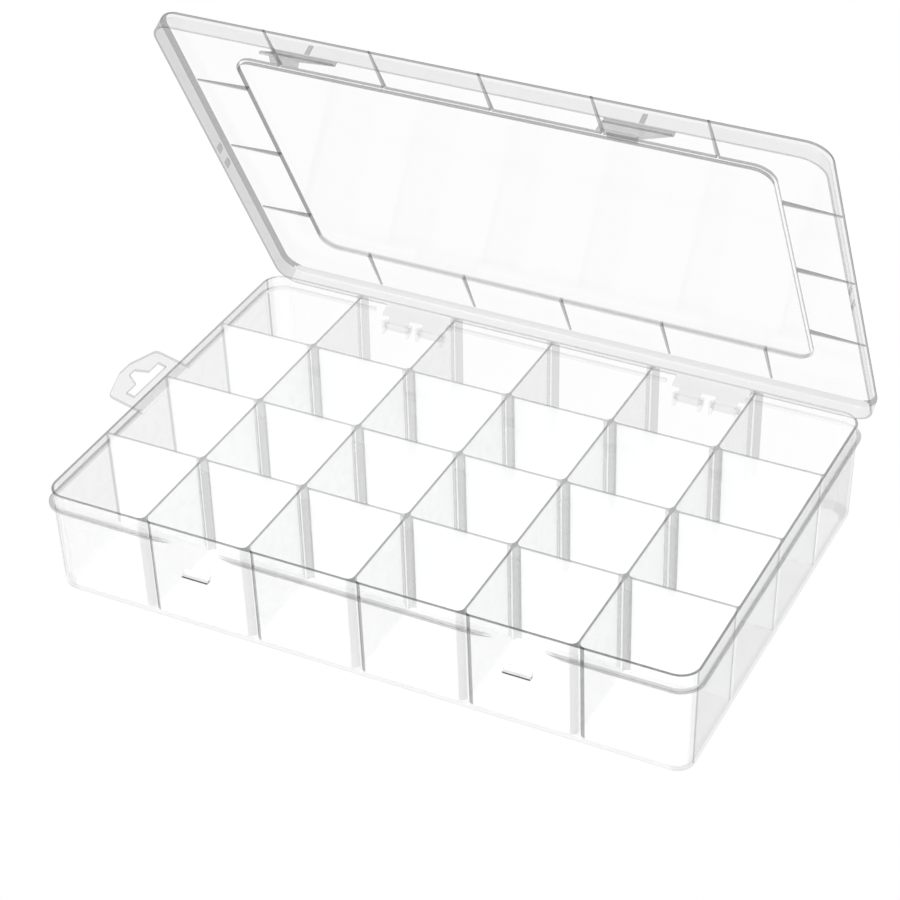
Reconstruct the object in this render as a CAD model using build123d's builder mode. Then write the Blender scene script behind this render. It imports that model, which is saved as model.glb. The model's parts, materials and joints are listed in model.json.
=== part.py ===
"""Compartment storage box: a clear moulded tray of 24 compartments under a hinged lid with two clasps.

Millimetres. The origin is the centre of the tray's underside, +X runs along the box, +Y towards its
hinges and +Z up. The lid and its clasps are drawn shut and latched, where they fit the tray, and are
then swung to the open pose that the box is kept in.
"""

import os
from math import cos, radians, sin, tan

from build123d import *

# Tray
tray_length = 336.0
tray_width = 223.5
tray_height = 58.5
tray_wall = 1.3
floor_thickness = 1.4
draft_angle = 1.3
corner_radius = 10.5
base_radius = 4.5

# Compartments
columns = 6
rows = 4
divider_thickness = 1.2

# Ledge that carries the lid's skirt
ledge_drop = 7.2
ledge_width = 2.0
ledge_thickness = 1.7
clasp_notch = 26.0
clasp_notch_taper = 9.0
hinge_notch = 43.0

# Lid
lid_thickness = 1.4
lid_headroom = 1.8
skirt_thickness = 1.2
seat_gap = 0.3
lid_edge_radius = 2.4
lid_inner_radius = 3.6
window_margin = 31.0
window_corner_radius = 10.5
window_rise = 2.1
window_slope_angle = 12.0
rib_thickness = 1.0
rib_end_height = 0.6

# Bars that stiffen the front skirt above each clasp
gusset_thickness = 2.4
gusset_fall = 7.6
gusset_bevel = 0.6
gusset_skirt_depth = 0.45

# Nibs that centre the lid on the tray, two inside each short skirt
nib_length = 6.0
nib_lift = 1.5
nib_height = 3.6
nib_depth = 0.5
nib_spacing = 13.0

# Lid hinges: pins on the lid's arms turn in ears on the tray
hinge_drop = 18.0
hinge_setback = 3.0
hinge_pair_spacing = 20.0
arm_width = 11.8
apron_width = 41.0
apron_height = 6.4
pin_radius = 1.4
pin_clearance = 0.05
knuckle_radius = 2.3
ear_radius = 2.8
ear_thickness = 1.6
ear_gap = 0.3
ear_root_height = 8.0

# Clasps and the catches that they hook under
clasp_width = 34.0
clasp_tip_width = 19.0
clasp_tip_radius = 3.0
clasp_length = 26.5
clasp_thickness = 1.2
clasp_lip_length = 5.5
clasp_lip_angle = 20.0
clasp_lean = 4.5
clasp_inner_step = 0.4
clasp_gap = 0.45
strip_height = 2.5
strip_thickness = 0.6
hook_width = 14.0
hook_reach = 3.1
hook_height = 3.8
hook_tip_height = 1.2
latch_gap = 0.4
catch_drop = 25.2
catch_width = 14.0
catch_reach = 3.0
catch_height = 3.4
catch_tip_height = 0.9

# Hang tab
tab_width = 46.0
tab_side = 19.0
tab_length = 25.0
tab_tip_width = 8.0
tab_thickness = 1.8
tab_corner_radius = 3.0
tab_tilt = 14.0
tab_lid_gap = 0.5
hang_slot_start = 9.3
hang_slot_width = 31.0
hang_slot_height = 4.8
hang_notch_width = 13.0
hang_notch_height = 6.4
hang_notch_tip_width = 5.0

# Pose that the open box is kept in, measured from shut and from latched
lid_opening_angle = 62.2
left_clasp_opening_angle = 50.0
right_clasp_opening_angle = 43.0

# Places worked out from the sizes above
draft_run = tan(radians(draft_angle))
column_pitch = tray_length / columns
row_pitch = tray_width / rows
column_lines = [column_pitch * (i - columns / 2) for i in range(1, columns)]
row_lines = [row_pitch * (i - rows / 2) for i in range(1, rows)]
straight_x = tray_length / 2 - corner_radius
straight_y = tray_width / 2 - corner_radius
fastener_x = (columns / 2 - 1.5) * column_pitch

lid_length = tray_length + 2 * ledge_width
lid_width = tray_width + 2 * ledge_width
lid_radius = corner_radius + ledge_width
ledge_top = tray_height - ledge_drop
skirt_foot = ledge_top + seat_gap
margin_underside = tray_height + lid_headroom
margin_top = margin_underside + lid_thickness
panel_underside = margin_underside + window_rise
lid_top = margin_top + window_rise
window_length = lid_length - 2 * window_margin
window_width = lid_width - 2 * window_margin
window_slope_run = window_rise * tan(radians(window_slope_angle))
window_shrink = lid_thickness * (1 - sin(radians(window_slope_angle))) / cos(radians(window_slope_angle))

hinge_y = tray_width / 2 + hinge_setback
hinge_z = tray_height - hinge_drop
clasp_y = -lid_width / 2
clasp_z = skirt_foot - strip_height
catch_foot = tray_height - catch_drop
clasp_outer = clasp_thickness - clasp_inner_step
clasp_inner = -clasp_inner_step
lip_out = clasp_lip_length * sin(radians(clasp_lip_angle))
lip_start = clasp_length - clasp_lip_length * cos(radians(clasp_lip_angle))
hook_top = (clasp_z - catch_foot + latch_gap) / cos(radians(clasp_lean))
beyond = tray_length  # Further out than any piece, for the boxes that cut pieces apart
sides = {"left": -fastener_x, "right": fastener_x}


def inset(height):
    """How far the tray's drafted outside lies within its rim outline at a height."""
    return (tray_height - height) * draft_run


def keep(low, high):
    """Keep only what lies between two corners."""
    size = [b - a for a, b in zip(low, high)]
    middle = [(a + b) / 2 for a, b in zip(low, high)]
    with Locations(tuple(middle)):
        Box(*size, mode=Mode.INTERSECT)


def drop(low, high):
    """Cut away what lies between two corners."""
    size = [b - a for a, b in zip(low, high)]
    middle = [(a + b) / 2 for a, b in zip(low, high)]
    with Locations(tuple(middle)):
        Box(*size, mode=Mode.SUBTRACT)


def corners_only():
    """Cut away the straight runs between the rounded corners."""
    drop((-straight_x, -beyond, -beyond), (straight_x, beyond, beyond))
    drop((-beyond, -straight_y, -beyond), (beyond, straight_y, beyond))


def drafted(height, shrink):
    """The tray's outline at a height, taken in by a wall."""
    RectangleRounded(
        tray_length - 2 * (inset(height) + shrink),
        tray_width - 2 * (inset(height) + shrink),
        corner_radius - inset(height) - shrink,
    )


# Outside and cavity of the tray, which every piece of it is cut from
with BuildPart() as tray_block:
    with BuildSketch(Plane.XY):
        drafted(0, 0)
    extrude(amount=tray_height, taper=-draft_angle)
    fillet(tray_block.faces().sort_by(Axis.Z)[0].edges(), base_radius)

with BuildPart() as cavity:
    with BuildSketch(Plane.XY.offset(floor_thickness)):
        drafted(floor_thickness, tray_wall)
    extrude(amount=tray_height - floor_thickness, taper=-draft_angle)
    fillet(cavity.faces().sort_by(Axis.Z)[0].edges(), base_radius - tray_wall)

with BuildPart() as tray_shell:
    add(tray_block.part)
    add(cavity.part, mode=Mode.SUBTRACT)

# Floor, and the rounded foot of the walls around it
with BuildPart() as floor_prism:
    with BuildSketch(Plane.XY):
        drafted(0, base_radius)
    extrude(amount=base_radius)

with BuildPart() as tray_floor:
    add(tray_shell.part)
    add(floor_prism.part, mode=Mode.INTERSECT)

with BuildPart() as foot_ring:
    add(tray_shell.part)
    keep((-beyond, -beyond, 0), (beyond, beyond, base_radius))
    add(floor_prism.part, mode=Mode.SUBTRACT)

with BuildPart() as base_edges:
    add(foot_ring.part)
    for x_side in (-1, 1):
        for y_side in (-1, 1):
            with Locations((x_side * (straight_x + beyond / 2), y_side * (straight_y + beyond / 2), 0)):
                Box(beyond, beyond, beyond, mode=Mode.SUBTRACT)

with BuildPart() as base_corners:
    add(foot_ring.part)
    corners_only()

# Walls and their corners
with BuildPart() as wall_ring:
    add(tray_shell.part)
    keep((-beyond, -beyond, base_radius), (beyond, beyond, tray_height))

with BuildPart() as front_wall:
    add(wall_ring.part)
    keep((-straight_x, -beyond, 0), (straight_x, 0, beyond))

with BuildPart() as rear_wall:
    add(wall_ring.part)
    keep((-straight_x, 0, 0), (straight_x, beyond, beyond))

with BuildPart() as left_wall:
    add(wall_ring.part)
    keep((-beyond, -straight_y, 0), (0, straight_y, beyond))

with BuildPart() as right_wall:
    add(wall_ring.part)
    keep((0, -straight_y, 0), (beyond, straight_y, beyond))

with BuildPart() as wall_corners:
    add(wall_ring.part)
    corners_only()

# Dividers: whole ones along the box, and short ones across it between them
row_dividers = []
for line in row_lines:
    with BuildPart() as row_divider:
        add(cavity.part)
        keep((-beyond, line - divider_thickness / 2, 0), (beyond, line + divider_thickness / 2, beyond))
    row_dividers.append(row_divider)

column_dividers = []
for line in column_lines:
    with BuildPart() as column_divider:
        add(cavity.part)
        keep((line - divider_thickness / 2, -beyond, 0), (line + divider_thickness / 2, beyond, beyond))
        for cross in row_lines:
            near = cross - divider_thickness / 2
            drop((-beyond, near, 0), (beyond, near + divider_thickness, beyond))
    column_dividers.append(column_divider)

# Ledge, open where the clasps and the hinges pass it
with BuildPart() as ledge_ring:
    with BuildSketch(Plane.XY.offset(ledge_top)):
        RectangleRounded(lid_length, lid_width, lid_radius)
    extrude(amount=-ledge_thickness)
    add(tray_block.part, mode=Mode.SUBTRACT)

with BuildPart() as front_ledge:
    add(ledge_ring.part)
    keep((-straight_x, -beyond, 0), (straight_x, 0, beyond))
    with BuildSketch(Plane.XY.offset(ledge_top)):
        for x in sides.values():
            with BuildLine():
                Polyline(
                    (x - clasp_notch / 2, -tray_width / 2 + ledge_width),
                    (x - clasp_notch / 2, -tray_width / 2),
                    (x - clasp_notch / 2 - clasp_notch_taper, -lid_width / 2),
                    (x - clasp_notch / 2 - clasp_notch_taper, -lid_width / 2 - ledge_width),
                    (x + clasp_notch / 2 + clasp_notch_taper, -lid_width / 2 - ledge_width),
                    (x + clasp_notch / 2 + clasp_notch_taper, -lid_width / 2),
                    (x + clasp_notch / 2, -tray_width / 2),
                    (x + clasp_notch / 2, -tray_width / 2 + ledge_width),
                    close=True,
                )
            make_face()
    extrude(amount=-ledge_thickness, mode=Mode.SUBTRACT)

with BuildPart() as rear_ledge:
    add(ledge_ring.part)
    keep((-straight_x, 0, 0), (straight_x, beyond, beyond))
    for x in sides.values():
        drop((x - hinge_notch / 2, 0, 0), (x + hinge_notch / 2, beyond, beyond))

with BuildPart() as left_ledge:
    add(ledge_ring.part)
    keep((-beyond, -straight_y, 0), (0, straight_y, beyond))
    drop((-beyond, -tab_width / 2, 0), (0, tab_width / 2, beyond))

with BuildPart() as right_ledge:
    add(ledge_ring.part)
    keep((0, -straight_y, 0), (beyond, straight_y, beyond))

with BuildPart() as ledge_corners:
    add(ledge_ring.part)
    corners_only()

# Hang tab: rises outwards from the left wall, clear of the lid's skirt
tab_plane = Plane(
    origin=(-tray_length / 2, 0, ledge_top - (ledge_width + tab_lid_gap) * tan(radians(tab_tilt))),
    x_dir=(0, 1, 0),
    z_dir=(sin(radians(tab_tilt)), 0, cos(radians(tab_tilt))),
)

with BuildPart() as hang_tab:
    with BuildSketch(tab_plane):
        with BuildLine():
            Polyline(
                (-tab_width / 2, -ledge_width),
                (-tab_width / 2, tab_side),
                (-tab_tip_width / 2, tab_length),
                (tab_tip_width / 2, tab_length),
                (tab_width / 2, tab_side),
                (tab_width / 2, -ledge_width),
                close=True,
            )
        make_face()
        fillet(vertices().filter_by(lambda corner: corner.Y > 0), tab_corner_radius)
        with BuildLine():
            Polyline(
                (-hang_slot_width / 2, hang_slot_start),
                (-hang_slot_width / 2, hang_slot_start + hang_slot_height),
                (-hang_notch_width / 2, hang_slot_start + hang_slot_height),
                (-hang_notch_tip_width / 2, hang_slot_start + hang_slot_height + hang_notch_height),
                (hang_notch_tip_width / 2, hang_slot_start + hang_slot_height + hang_notch_height),
                (hang_notch_width / 2, hang_slot_start + hang_slot_height),
                (hang_slot_width / 2, hang_slot_start + hang_slot_height),
                (hang_slot_width / 2, hang_slot_start),
                close=True,
            )
        make_face(mode=Mode.SUBTRACT)
    extrude(amount=-tab_thickness)
    add(tray_block.part, mode=Mode.SUBTRACT)

# Catches on the front wall: sloped above, flat below for the clasps' hooks
catches = {}
for side, x in sides.items():
    with BuildPart() as catch:
        with BuildSketch(Plane.YZ.offset(x)):
            with BuildLine():
                wall_y = -tray_width / 2 + inset(catch_foot)
                Polyline(
                    (wall_y + tray_wall, catch_foot),
                    (wall_y - catch_reach, catch_foot),
                    (wall_y - catch_reach, catch_foot + catch_tip_height),
                    (wall_y, catch_foot + catch_height),
                    (wall_y + tray_wall, catch_foot + catch_height),
                    close=True,
                )
            make_face()
        extrude(amount=catch_width / 2, both=True)
        add(tray_block.part, mode=Mode.SUBTRACT)
    catches[side] = catch

# Hinge ears on the rear wall, two pairs to a hinge
hinge_ears = {}
for side, x in sides.items():
    with BuildPart() as ears:
        for pair in (-hinge_pair_spacing / 2, hinge_pair_spacing / 2):
            for turn in (-1, 1):
                middle = x + pair + turn * (arm_width / 2 + ear_gap + ear_thickness / 2)
                with BuildSketch(Plane.YZ.offset(middle)):
                    with Locations((hinge_y, hinge_z)):
                        Circle(ear_radius)
                    with Locations((tray_width / 2 - tray_wall / 2, hinge_z)):
                        Rectangle(tray_wall, ear_root_height)
                    make_hull()
                    with Locations((hinge_y, hinge_z)):
                        Circle(pin_radius + pin_clearance, mode=Mode.SUBTRACT)
                extrude(amount=ear_thickness / 2, both=True)
        add(tray_block.part, mode=Mode.SUBTRACT)
    hinge_ears[side] = ears

# Shell of the shut lid, which its pieces are cut from
with BuildPart() as lid_block:
    with BuildSketch(Plane.XY.offset(skirt_foot)):
        RectangleRounded(lid_length, lid_width, lid_radius)
    extrude(amount=margin_top - skirt_foot)
    fillet(lid_block.faces().sort_by(Axis.Z)[-1].edges(), lid_edge_radius)
    with BuildSketch(Plane.XY.offset(margin_top)):
        RectangleRounded(window_length, window_width, window_corner_radius)
    extrude(amount=window_rise, taper=window_slope_angle)

with BuildPart() as lid_hollow:
    with BuildSketch(Plane.XY.offset(skirt_foot)):
        RectangleRounded(
            lid_length - 2 * skirt_thickness,
            lid_width - 2 * skirt_thickness,
            lid_radius - skirt_thickness,
        )
    extrude(amount=margin_underside - skirt_foot)
    fillet(lid_hollow.faces().sort_by(Axis.Z)[-1].edges(), lid_inner_radius)
    with BuildSketch(Plane.XY.offset(margin_underside)):
        RectangleRounded(
            window_length - 2 * window_shrink,
            window_width - 2 * window_shrink,
            window_corner_radius - window_shrink,
        )
    extrude(amount=window_rise, taper=window_slope_angle)

with BuildPart() as lid_shell:
    add(lid_block.part)
    add(lid_hollow.part, mode=Mode.SUBTRACT)

with BuildPart() as window_prism:
    with BuildSketch(Plane.XY.offset(margin_underside)):
        RectangleRounded(window_length, window_width, window_corner_radius)
    extrude(amount=lid_thickness + window_rise)

# Lid pieces: flat margin, step, raised panel, four skirts and their corners
with BuildPart() as lid_margin:
    add(lid_shell.part)
    keep((-beyond, -beyond, margin_underside), (beyond, beyond, margin_top))
    add(window_prism.part, mode=Mode.SUBTRACT)

with BuildPart() as window_step:
    add(lid_shell.part)
    add(window_prism.part, mode=Mode.INTERSECT)
    keep((-beyond, -beyond, 0), (beyond, beyond, panel_underside))

with BuildPart() as window_panel:
    add(lid_shell.part)
    keep((-beyond, -beyond, panel_underside), (beyond, beyond, lid_top))

with BuildPart() as skirt_ring:
    add(lid_shell.part)
    keep((-beyond, -beyond, skirt_foot), (beyond, beyond, margin_underside))

with BuildPart() as front_skirt:
    add(skirt_ring.part)
    keep((-straight_x, -beyond, 0), (straight_x, 0, beyond))

with BuildPart() as rear_skirt:
    add(skirt_ring.part)
    keep((-straight_x, 0, 0), (straight_x, beyond, beyond))

with BuildPart() as left_skirt:
    add(skirt_ring.part)
    keep((-beyond, -straight_y, 0), (0, straight_y, beyond))

with BuildPart() as right_skirt:
    add(skirt_ring.part)
    keep((0, -straight_y, 0), (beyond, straight_y, beyond))

with BuildPart() as skirt_corners:
    add(skirt_ring.part)
    corners_only()


def rib_profile(plane, edge):
    """A rib's outline: it falls from the top of the window's step to a low end at the lid's edge."""
    with BuildSketch(plane, mode=Mode.PRIVATE) as profile:
        with BuildLine():
            Polyline(
                (edge - lid_edge_radius, margin_top + rib_end_height),
                (edge - lid_edge_radius, margin_top),
                (edge - window_margin, margin_top),
                (edge - window_margin - window_slope_run, lid_top),
                close=True,
            )
        make_face()
    return profile.sketch


# Ribs on the margin, in line with the dividers below
with BuildPart() as front_ribs:
    for line in column_lines:
        plane = Plane(origin=(line, 0, 0), x_dir=(0, -1, 0), z_dir=(-1, 0, 0))
        profile = rib_profile(plane, lid_width / 2)
        extrude(profile, amount=rib_thickness / 2, both=True)

with BuildPart() as rear_ribs:
    for line in column_lines:
        plane = Plane(origin=(line, 0, 0), x_dir=(0, 1, 0), z_dir=(1, 0, 0))
        profile = rib_profile(plane, lid_width / 2)
        extrude(profile, amount=rib_thickness / 2, both=True)

with BuildPart() as left_ribs:
    for line in row_lines:
        plane = Plane(origin=(0, line, 0), x_dir=(-1, 0, 0), z_dir=(0, 1, 0))
        profile = rib_profile(plane, lid_length / 2)
        extrude(profile, amount=rib_thickness / 2, both=True)

with BuildPart() as right_ribs:
    for line in row_lines:
        plane = Plane(origin=(0, line, 0), x_dir=(1, 0, 0), z_dir=(0, -1, 0))
        profile = rib_profile(plane, lid_length / 2)
        extrude(profile, amount=rib_thickness / 2, both=True)

# Gussets inside the front skirt, shallow enough to clear the rim as the lid swings
with BuildPart() as clasp_gussets:
    for x in sides.values():
        with BuildSketch(Plane.YZ.offset(x)):
            with BuildLine():
                inner_y = -lid_width / 2 + skirt_thickness
                Polyline(
                    (inner_y - skirt_thickness / 2, margin_underside - gusset_fall),
                    (inner_y, margin_underside - gusset_fall),
                    (inner_y + gusset_skirt_depth, margin_underside - gusset_fall + gusset_bevel),
                    (inner_y + gusset_skirt_depth, margin_underside - lid_inner_radius / 3),
                    (inner_y - skirt_thickness / 2, margin_underside - lid_inner_radius / 3),
                    close=True,
                )
            make_face()
        extrude(amount=gusset_thickness / 2, both=True)
    add(lid_shell.part, mode=Mode.SUBTRACT)

# Nibs inside the short skirts
side_nibs = {}
for side, turn in (("left", -1), ("right", 1)):
    with BuildPart() as nibs:
        skirt_x = turn * (lid_length / 2 - skirt_thickness)
        for y in (-nib_spacing / 2, nib_spacing / 2):
            with BuildSketch(Plane.XY.offset(skirt_foot + nib_lift)):
                with BuildLine():
                    Polyline(
                        (skirt_x, y - nib_length / 2),
                        (skirt_x, y + nib_length / 2),
                        (skirt_x - turn * nib_depth, y),
                        close=True,
                    )
                make_face()
            extrude(amount=nib_height)
    side_nibs[side] = nibs

# Hinge arms under the rear skirt, each with its knuckle and pins in one, joined by a short apron
hinge_arms = {}
for side, x in sides.items():
    with BuildPart() as arms:
        for pair in (-hinge_pair_spacing / 2, hinge_pair_spacing / 2):
            with BuildSketch(Plane.YZ.offset(x + pair)):
                with Locations((hinge_y, hinge_z)):
                    Circle(knuckle_radius)
                with Locations((lid_width / 2, hinge_z)):
                    Rectangle(skirt_thickness, skirt_foot - hinge_z, align=(Align.MAX, Align.MIN))
            extrude(amount=arm_width / 2, both=True)
            with BuildSketch(Plane.YZ.offset(x + pair)):
                with Locations((hinge_y, hinge_z)):
                    Circle(pin_radius)
            extrude(amount=arm_width / 2 + ear_gap + ear_thickness, both=True)
        with BuildSketch(Plane.XY.offset(skirt_foot)):
            with Locations((x, lid_width / 2)):
                Rectangle(apron_width, skirt_thickness, align=(Align.CENTER, Align.MAX))
        extrude(amount=-apron_height)
    hinge_arms[side] = arms

# Strips under the front skirt that the clasps' living hinges run along
with BuildPart() as clasp_strips:
    for x in sides.values():
        with BuildSketch(Plane.XY.offset(skirt_foot)):
            with Locations((x, clasp_y)):
                Rectangle(clasp_width, strip_thickness, align=(Align.CENTER, Align.MIN))
        extrude(amount=-strip_height)

# Clasps, drawn about their hinge line as they hang, with the outside towards -Y
clasp_side = Plane(origin=(0, 0, 0), x_dir=(0, -1, 0), z_dir=(-1, 0, 0))

with BuildPart() as clasp_plate:
    with BuildSketch(clasp_side):
        with BuildLine():
            Polyline(
                (clasp_inner, -clasp_gap),
                (0, -clasp_gap),
                (clasp_outer, -clasp_gap - clasp_thickness),
                (clasp_outer, -lip_start),
                (clasp_outer + lip_out, -clasp_length),
                (clasp_outer + lip_out - clasp_thickness, -clasp_length),
                (clasp_inner, -lip_start),
                close=True,
            )
        make_face()
    extrude(amount=clasp_width / 2, both=True)
    with BuildSketch(Plane.XZ):
        with BuildLine():
            Polyline(
                (-clasp_width / 2, 0),
                (clasp_width / 2, 0),
                (clasp_tip_width / 2, -clasp_length),
                (-clasp_tip_width / 2, -clasp_length),
                close=True,
            )
        make_face()
        fillet(vertices().group_by(Axis.Y)[0], clasp_tip_radius)
    extrude(amount=clasp_length, both=True, mode=Mode.INTERSECT)

with BuildPart() as clasp_hook:
    with BuildSketch(clasp_side):
        with BuildLine():
            Polyline(
                (clasp_inner, -hook_top),
                (clasp_inner - hook_reach, -hook_top),
                (clasp_inner - hook_reach, -hook_top - hook_tip_height),
                (clasp_inner, -hook_top - hook_height),
                close=True,
            )
        make_face()
    extrude(amount=hook_width / 2, both=True)


def placed(piece, place):
    """A copy of a piece at a location."""
    with BuildPart() as copy:
        with Locations(place):
            add(piece.part)
    return copy


def turned(y, z, angle):
    """The location that swings what is drawn shut about a line along X, outwards and up."""
    return Pos(0, y, z) * Rot(X=-angle) * Pos(0, -y, -z)


lid_swing = turned(hinge_y, hinge_z, lid_opening_angle)


def clasp_place(x, opening):
    """Where a clasp hangs on the swung lid."""
    return lid_swing * Pos(x, clasp_y, clasp_z) * Rot(X=-(clasp_lean + opening))


pieces = {
    "tray_floor": tray_floor,
    "base_edges": base_edges,
    "base_corners": base_corners,
    "front_wall": front_wall,
    "rear_wall": rear_wall,
    "left_wall": left_wall,
    "right_wall": right_wall,
    "wall_corners": wall_corners,
    "front_ledge": front_ledge,
    "rear_ledge": rear_ledge,
    "left_ledge": left_ledge,
    "right_ledge": right_ledge,
    "ledge_corners": ledge_corners,
    "hang_tab": hang_tab,
}
for number, row_divider in enumerate(row_dividers, 1):
    pieces[f"row_divider_{number}"] = row_divider
for number, column_divider in enumerate(column_dividers, 1):
    pieces[f"column_divider_{number}"] = column_divider

lid_pieces = {
    "lid_margin": lid_margin,
    "window_step": window_step,
    "window_panel": window_panel,
    "front_skirt": front_skirt,
    "rear_skirt": rear_skirt,
    "left_skirt": left_skirt,
    "right_skirt": right_skirt,
    "skirt_corners": skirt_corners,
    "front_ribs": front_ribs,
    "rear_ribs": rear_ribs,
    "left_ribs": left_ribs,
    "right_ribs": right_ribs,
    "clasp_gussets": clasp_gussets,
    "clasp_strips": clasp_strips,
}
for side in ("left", "right"):
    pieces[f"{side}_catch"] = catches[side]
    pieces[f"{side}_hinge_ears"] = hinge_ears[side]
    lid_pieces[f"{side}_side_nibs"] = side_nibs[side]
    lid_pieces[f"{side}_hinge_arms"] = hinge_arms[side]
for name, piece in lid_pieces.items():
    pieces[name] = placed(piece, lid_swing)
openings = {"left": left_clasp_opening_angle, "right": right_clasp_opening_angle}
for side, opening in openings.items():
    pieces[f"{side}_clasp_plate"] = placed(clasp_plate, clasp_place(sides[side], opening))
    pieces[f"{side}_clasp_hook"] = placed(clasp_hook, clasp_place(sides[side], opening))

os.makedirs("parts", exist_ok=True)
for name, piece in pieces.items():
    piece.part.label = name
    export_step(piece.part, f"parts/{name}.step")
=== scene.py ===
# %% [markdown]
# # A clear storage box with 24 compartments
# The real box is two injection mouldings of clear polypropylene: a tray with fixed dividers, and a lid
# that carries its own hinge pins and clasps. Clear plastic shows every face inside it, so each moulding
# is made here as one closed skin, with no hidden faces where two features meet.

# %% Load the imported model, which fixes every size and joint
import json
from math import cos, hypot, pi, radians, sin, sqrt, tan

import bmesh
import bpy
from mathutils import Euler, Matrix, Vector


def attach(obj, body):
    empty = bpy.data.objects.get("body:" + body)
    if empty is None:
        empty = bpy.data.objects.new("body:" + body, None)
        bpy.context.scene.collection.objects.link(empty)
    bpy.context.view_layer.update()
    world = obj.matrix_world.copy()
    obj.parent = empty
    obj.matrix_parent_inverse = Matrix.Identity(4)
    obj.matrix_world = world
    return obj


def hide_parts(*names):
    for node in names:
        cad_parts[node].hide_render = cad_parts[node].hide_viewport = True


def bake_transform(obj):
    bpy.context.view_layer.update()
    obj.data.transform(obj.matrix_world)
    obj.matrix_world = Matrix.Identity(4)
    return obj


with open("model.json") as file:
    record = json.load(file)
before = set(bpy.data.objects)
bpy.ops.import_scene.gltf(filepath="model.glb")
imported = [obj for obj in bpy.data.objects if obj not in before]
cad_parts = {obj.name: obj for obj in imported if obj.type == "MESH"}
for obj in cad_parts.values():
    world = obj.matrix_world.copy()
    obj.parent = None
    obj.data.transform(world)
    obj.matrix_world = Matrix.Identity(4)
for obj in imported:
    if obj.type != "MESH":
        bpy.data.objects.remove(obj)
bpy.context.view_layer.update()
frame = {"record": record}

MM = 0.001

# %% [markdown]
# ## The camera
# A long lens from the front right, well above the box. Its place and turn come from straight edges of
# the box itself, and a 104 mm lens on a 36 mm sensor gives the gentle perspective of a product picture.

# %% Camera
camera_data = bpy.data.cameras.new("camera")
camera_data.lens = 104.05
camera_data.sensor_width = 36
camera = bpy.data.objects.new("camera", camera_data)
camera.location = (0.4726, -0.9240, 0.7857)
camera.rotation_euler = Euler([radians(a) for a in (55.053, 1.367, 26.379)], "XYZ")
bpy.context.scene.collection.objects.link(camera)
bpy.context.scene.camera = camera

# %% [markdown]
# ## Sizes
# The sizes of the mouldings in millimetres. The tray's walls lean out by the mould's draft, so a height
# decides how far the wall stands inside the rim's outline.

# %% Sizes of the tray
RIM, FLOOR, WALL, FOOT = 58.5, 1.4, 1.3, 4.5
CORE_X, CORE_Y, CORNER = 157.5, 101.25, 10.5
HALF_X, HALF_Y = CORE_X + CORNER, CORE_Y + CORNER
COLUMN, ROW, DIVIDER = 56.0, 55.875, 1.2
LEDGE_TOP, LEDGE_FOOT, LEDGE_REACH = 51.3, 49.6, 2.0
FASTENERS = (-84.0, 84.0)
HINGE_Y, HINGE_Z = 114.75, 40.5


def inset(z):
    """How far the drafted wall stands inside the rim's outline at a height."""
    return (RIM - z) * tan(radians(1.3))


# %% [markdown]
# ## Helpers for making skins
# Every wall of the box follows one rounded rectangle, grown or shrunk. So an outline is kept as pairs of
# a core point and an outward direction, and a ring is that outline pushed out by any radius. Rings with
# the same number of points are joined by quads, which keeps long walls flat and corners evenly rounded.

# %% Outlines, rings and lofts
QUADRANTS = ((1, -1), (1, 1), (-1, 1), (-1, -1))
SIDES = ((1, 0), (0, 1), (-1, 0), (0, -1))
CORNER_STEPS, FILLET_STEPS = 12, 6


def corner_angles(turn, steps):
    """The angles that sweep round a corner. Turn 0 is the front right corner."""
    return [-pi / 2 + turn * pi / 2 + i * pi / 2 / steps for i in range(steps + 1)]


def outline(core_x, core_y, front=(), rear=(), left=()):
    """A rounded rectangle as core points and outward directions, with extra stops along its sides."""
    points = []
    for turn, stops in enumerate(((), rear, left, front)):
        sx, sy = QUADRANTS[turn]
        nx, ny = SIDES[turn]
        points += [(sx * core_x, sy * core_y, cos(a), sin(a)) for a in corner_angles(turn, CORNER_STEPS)]
        points += [(core_x * nx or s, core_y * ny or s, nx, ny) for s in stops]
    return points


def ring(bm, points, radius, z):
    """One vertex for each outline point, pushed out by a radius that may differ along the outline."""
    radii = radius if isinstance(radius, list) else [radius] * len(points)
    return [bm.verts.new(((x + nx * r) * MM, (y + ny * r) * MM, z * MM))
            for (x, y, nx, ny), r in zip(points, radii)]


def loft(bm, rings, inward=False):
    """Quads between each ring and the next. Rings run anticlockwise from above and go downwards."""
    for upper, lower in zip(rings, rings[1:]):
        for i in range(len(upper)):
            j = (i + 1) % len(upper)
            quad = (upper[i], lower[i], lower[j], upper[j])
            bm.faces.new(quad[::-1] if inward else quad)


def span(bm, loops, normal):
    """A flat face, cut into triangles, between an outer loop and any holes in it."""
    edges = []
    for loop in loops:
        for a, b in zip(loop, loop[1:] + loop[:1]):
            edges.append(bm.edges.get((a, b)) or bm.edges.new((a, b)))
    bmesh.ops.triangle_fill(bm, use_beauty=True, edges=edges, normal=normal)


# %% Finish a mesh as an object, and weld features to it
SHARP_EDGE = radians(40)


def finished(bm, name):
    """Turn mesh-building data into an object, smooth except at edges sharper than an angle."""
    bmesh.ops.recalc_face_normals(bm, faces=bm.faces)
    mesh = bpy.data.meshes.new(name)
    bm.to_mesh(mesh)
    bm.free()
    mesh.shade_smooth()
    mesh.set_sharp_from_angle(angle=SHARP_EDGE)
    piece = bpy.data.objects.new(name, mesh)
    bpy.context.scene.collection.objects.link(piece)
    return piece


def apply_modifiers(piece):
    """Keep what the modifiers make as the mesh itself."""
    bpy.context.view_layer.update()
    made = piece.evaluated_get(bpy.context.evaluated_depsgraph_get())
    mesh = bpy.data.meshes.new_from_object(made)
    piece.modifiers.clear()
    piece.data = mesh


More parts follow.
